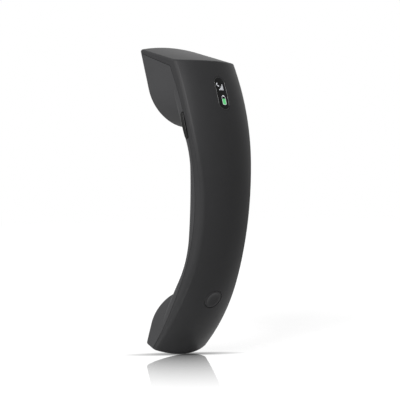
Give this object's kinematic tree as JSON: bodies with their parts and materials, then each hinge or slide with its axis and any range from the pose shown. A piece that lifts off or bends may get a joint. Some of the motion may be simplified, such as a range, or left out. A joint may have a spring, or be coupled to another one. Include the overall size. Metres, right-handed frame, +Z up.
{
  "type": "cordless desk phone handset",
  "caption": "Curved charcoal handset of a cordless desk phone, with a pill-shaped display, a round call button and a volume rocker in its side.",
  "frame": {"origin": "on the ground, below the middle of the handset's bounding box", "axes": "+Z up along the length with the handset standing on its mouth end, X across the width, ear and mouth faces towards +Y, curved spine towards -Y"},
  "size_m": [0.0506, 0.07, 0.2096],
  "materials": {
    "cover_plastic": "fine soft-touch grain, charcoal",
    "housing_plastic": "fine grain, charcoal, a little lighter",
    "window_gloss": "polished black",
    "key_gloss": "polished black",
    "button_plastic": "satin charcoal",
    "cap_plastic": "fine grain, charcoal",
    "holder_plastic": "plain moulded",
    "module_dark": "plain moulded",
    "board_green": "lacquered board",
    "tinned_steel": "tinned",
    "screw_steel": "plated",
    "magnet_nickel": "nickel plated",
    "contact_gold": "plated, polished",
    "soft_rubber": "matte",
    "foam_grey": "open foam",
    "battery_wrap": "shrink wrap, grey",
    "cable_film": "amber film",
    "mesh_cloth": "woven cloth"
  },
  "bodies": {
    "handset": {"spine_cover": "cover_plastic", "front_housing": "housing_plastic", "display_window": "window_gloss", "display_module": "module_dark", "display_holder": "holder_plastic", "main_board": "board_green", "lower_board": "board_green", "radio_shield": "tinned_steel", "antenna": "tinned_steel", "board_screws": "screw_steel", "housing_screws": "screw_steel", "volume_key_pin": "screw_steel", "volume_switches": "module_dark", "call_switch": "module_dark", "button_pad": "soft_rubber", "battery_pack": "battery_wrap", "battery_pad": "foam_grey", "board_link": "cable_film", "ear_cap": "cap_plastic", "ear_mesh": "mesh_cloth", "receiver_gasket": "soft_rubber", "receiver": "module_dark", "hook_magnet": "magnet_nickel", "mouth_cap": "cap_plastic", "microphone": "tinned_steel", "microphone_boot": "soft_rubber", "charge_contacts": "contact_gold"},
    "volume_key": {"volume_key": "key_gloss"},
    "call_button": {"call_button": "button_plastic"}
  },
  "joints": [
    {"name": "volume_rock", "type": "hinge", "parent": "handset", "child": "volume_key", "pos_m": [-0.02085, -0.01564, 0.1537], "axis": [0, 0.9673, -0.2536], "range_deg": [-2.3, 2.3], "stiffness_Nm_per_rad": 0.05},
    {"name": "call_press", "type": "slide", "parent": "handset", "child": "call_button", "axis": [0, 0.8704, 0.4923], "range_m": [0, 0.0005], "stiffness_N_per_m": 800}
  ]
}
